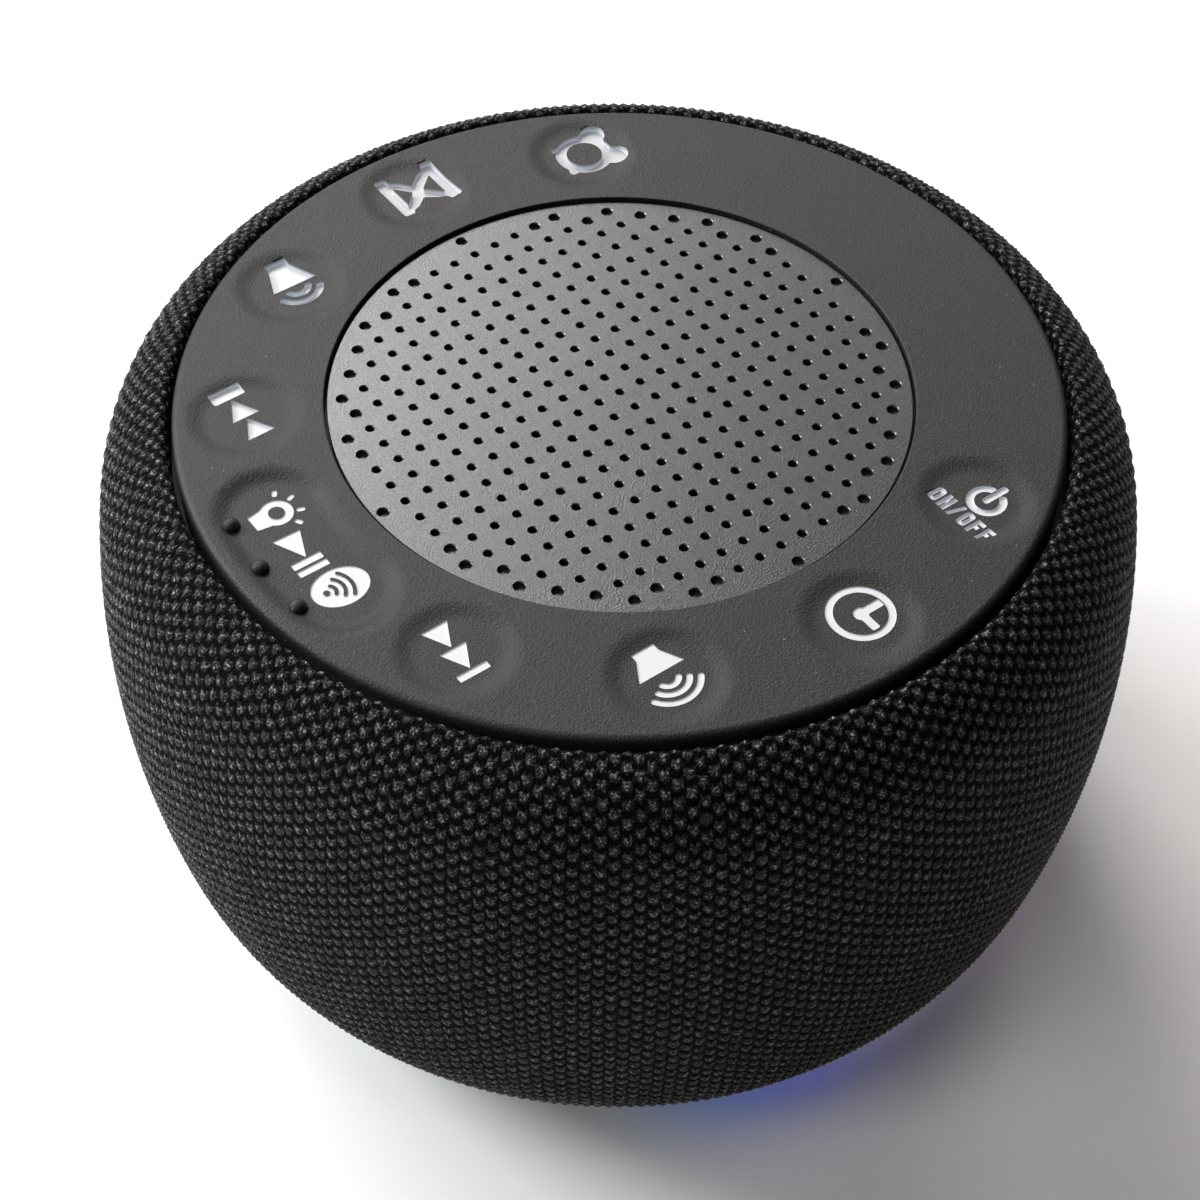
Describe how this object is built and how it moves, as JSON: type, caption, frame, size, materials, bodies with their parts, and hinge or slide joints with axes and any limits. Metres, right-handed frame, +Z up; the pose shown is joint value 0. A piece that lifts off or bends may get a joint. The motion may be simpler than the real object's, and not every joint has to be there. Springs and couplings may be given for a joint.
{
  "type": "white noise sound machine",
  "caption": "Fabric-covered barrel-shaped sound machine with a ring of pressed keys round a perforated speaker grille on top and a light ring under the base.",
  "frame": {"origin": "centre of the foot ring on the surface the machine stands on", "axes": "+Z up, -Y towards the long play key at the front, +Y towards the sockets at the back"},
  "size_m": [0.1146, 0.1146, 0.0715],
  "materials": {
    "base_plastic": "fine grain",
    "basket_steel": "plated",
    "board_green": "green mask",
    "board_white": "white mask",
    "capacitor_can": "sleeved",
    "chip_black": "moulded",
    "cloth_black": "thin cloth",
    "coil_copper": "enamelled wire",
    "cone_paper": "pressed paper",
    "diffuser_white": "milky",
    "dome_steel": "bright",
    "foam_black": "foam",
    "foot_rubber": "matt",
    "former_aluminium": "thin sheet",
    "grille_metal": "satin",
    "guide_white": "milky",
    "keypad_rubber": "matt, fine grain",
    "knit_fabric": "fine knit",
    "led_white": "clear",
    "magnet_ferrite": "ground",
    "module_can": "tinned",
    "ribbon_film": "polyimide film",
    "screw_steel": "zinc plated",
    "shell_plastic": "fine grain",
    "socket_plastic": "moulded",
    "socket_steel": "bright",
    "spider_cloth": "resin-stiffened",
    "surround_rubber": "smooth",
    "wire_grey": "insulated",
    "wire_red": "insulated"
  },
  "bodies": {
    "case": {"foot_ring": "foot_rubber", "base_cover": "base_plastic", "base_screws": "screw_steel", "light_ring": "diffuser_white", "light_board": "board_white", "light_leds": "led_white", "lower_shell": "shell_plastic", "upper_shell": "shell_plastic", "shell_screws": "screw_steel", "fabric_sleeve": "knit_fabric", "port_plate": "base_plastic", "panel_frame": "shell_plastic", "keypad_skin": "keypad_rubber", "key_board": "board_green", "snap_domes": "dome_steel", "key_leds": "led_white", "key_board_screws": "screw_steel", "panel_screws": "screw_steel", "grille": "grille_metal", "dust_cloth": "cloth_black", "speaker_gasket": "foam_black", "speaker_basket": "basket_steel", "speaker_top_plate": "basket_steel", "speaker_magnet": "magnet_ferrite", "speaker_yoke": "basket_steel", "speaker_surround": "surround_rubber", "speaker_spider": "spider_cloth", "speaker_screws": "screw_steel", "main_board": "board_green", "main_chips": "chip_black", "main_capacitors": "capacitor_can", "radio_module": "module_can", "board_screws": "screw_steel", "usb_socket": "socket_steel", "aux_socket": "socket_plastic", "key_ribbon": "ribbon_film", "speaker_leads": "wire_red", "light_board_leads": "wire_grey"},
    "power_key": {"key_power": "keypad_rubber", "guide_power": "guide_white"},
    "clock_key": {"key_clock": "keypad_rubber", "guide_clock": "guide_white"},
    "volume_up_key": {"key_volume_up": "keypad_rubber", "guide_volume_up": "guide_white"},
    "next_key": {"key_next": "keypad_rubber", "guide_next": "guide_white"},
    "play_key": {"key_play": "keypad_rubber", "guide_play": "guide_white"},
    "previous_key": {"key_previous": "keypad_rubber", "guide_previous": "guide_white"},
    "volume_down_key": {"key_volume_down": "keypad_rubber", "guide_volume_down": "guide_white"},
    "timer_key": {"key_timer": "keypad_rubber", "guide_timer": "guide_white"},
    "alarm_key": {"key_alarm": "keypad_rubber", "guide_alarm": "guide_white"},
    "driver_cone": {"speaker_cone": "cone_paper", "speaker_dust_cap": "cone_paper", "coil_former": "former_aluminium", "voice_coil": "coil_copper"}
  },
  "joints": [
    {"name": "power_press", "type": "slide", "parent": "case", "child": "power_key", "axis": [0, 0, -1], "range_m": [0, 0.0005], "stiffness_N_per_m": 2000, "springref_m": -0.0003, "deforming": ["snap_domes"]},
    {"name": "clock_press", "type": "slide", "parent": "case", "child": "clock_key", "axis": [0, 0, -1], "range_m": [0, 0.0005], "stiffness_N_per_m": 2000, "springref_m": -0.0003, "deforming": ["snap_domes"]},
    {"name": "volume_up_press", "type": "slide", "parent": "case", "child": "volume_up_key", "axis": [0, 0, -1], "range_m": [0, 0.0005], "stiffness_N_per_m": 2000, "springref_m": -0.0003, "deforming": ["snap_domes"]},
    {"name": "next_press", "type": "slide", "parent": "case", "child": "next_key", "axis": [0, 0, -1], "range_m": [0, 0.0005], "stiffness_N_per_m": 2000, "springref_m": -0.0003, "deforming": ["snap_domes"]},
    {"name": "play_press", "type": "slide", "parent": "case", "child": "play_key", "axis": [0, 0, -1], "range_m": [0, 0.0005], "stiffness_N_per_m": 2000, "springref_m": -0.0003, "deforming": ["snap_domes"]},
    {"name": "previous_press", "type": "slide", "parent": "case", "child": "previous_key", "axis": [0, 0, -1], "range_m": [0, 0.0005], "stiffness_N_per_m": 2000, "springref_m": -0.0003, "deforming": ["snap_domes"]},
    {"name": "volume_down_press", "type": "slide", "parent": "case", "child": "volume_down_key", "axis": [0, 0, -1], "range_m": [0, 0.0005], "stiffness_N_per_m": 2000, "springref_m": -0.0003, "deforming": ["snap_domes"]},
    {"name": "timer_press", "type": "slide", "parent": "case", "child": "timer_key", "axis": [0, 0, -1], "range_m": [0, 0.0005], "stiffness_N_per_m": 2000, "springref_m": -0.0003, "deforming": ["snap_domes"]},
    {"name": "alarm_press", "type": "slide", "parent": "case", "child": "alarm_key", "axis": [0, 0, -1], "range_m": [0, 0.0005], "stiffness_N_per_m": 2000, "springref_m": -0.0003, "deforming": ["snap_domes"]},
    {"name": "driver_stroke", "type": "slide", "parent": "case", "child": "driver_cone", "axis": [0, 0, 1], "range_m": [-0.0008, 0.0008], "stiffness_N_per_m": 1000, "deforming": ["speaker_surround", "speaker_spider"]}
  ]
}
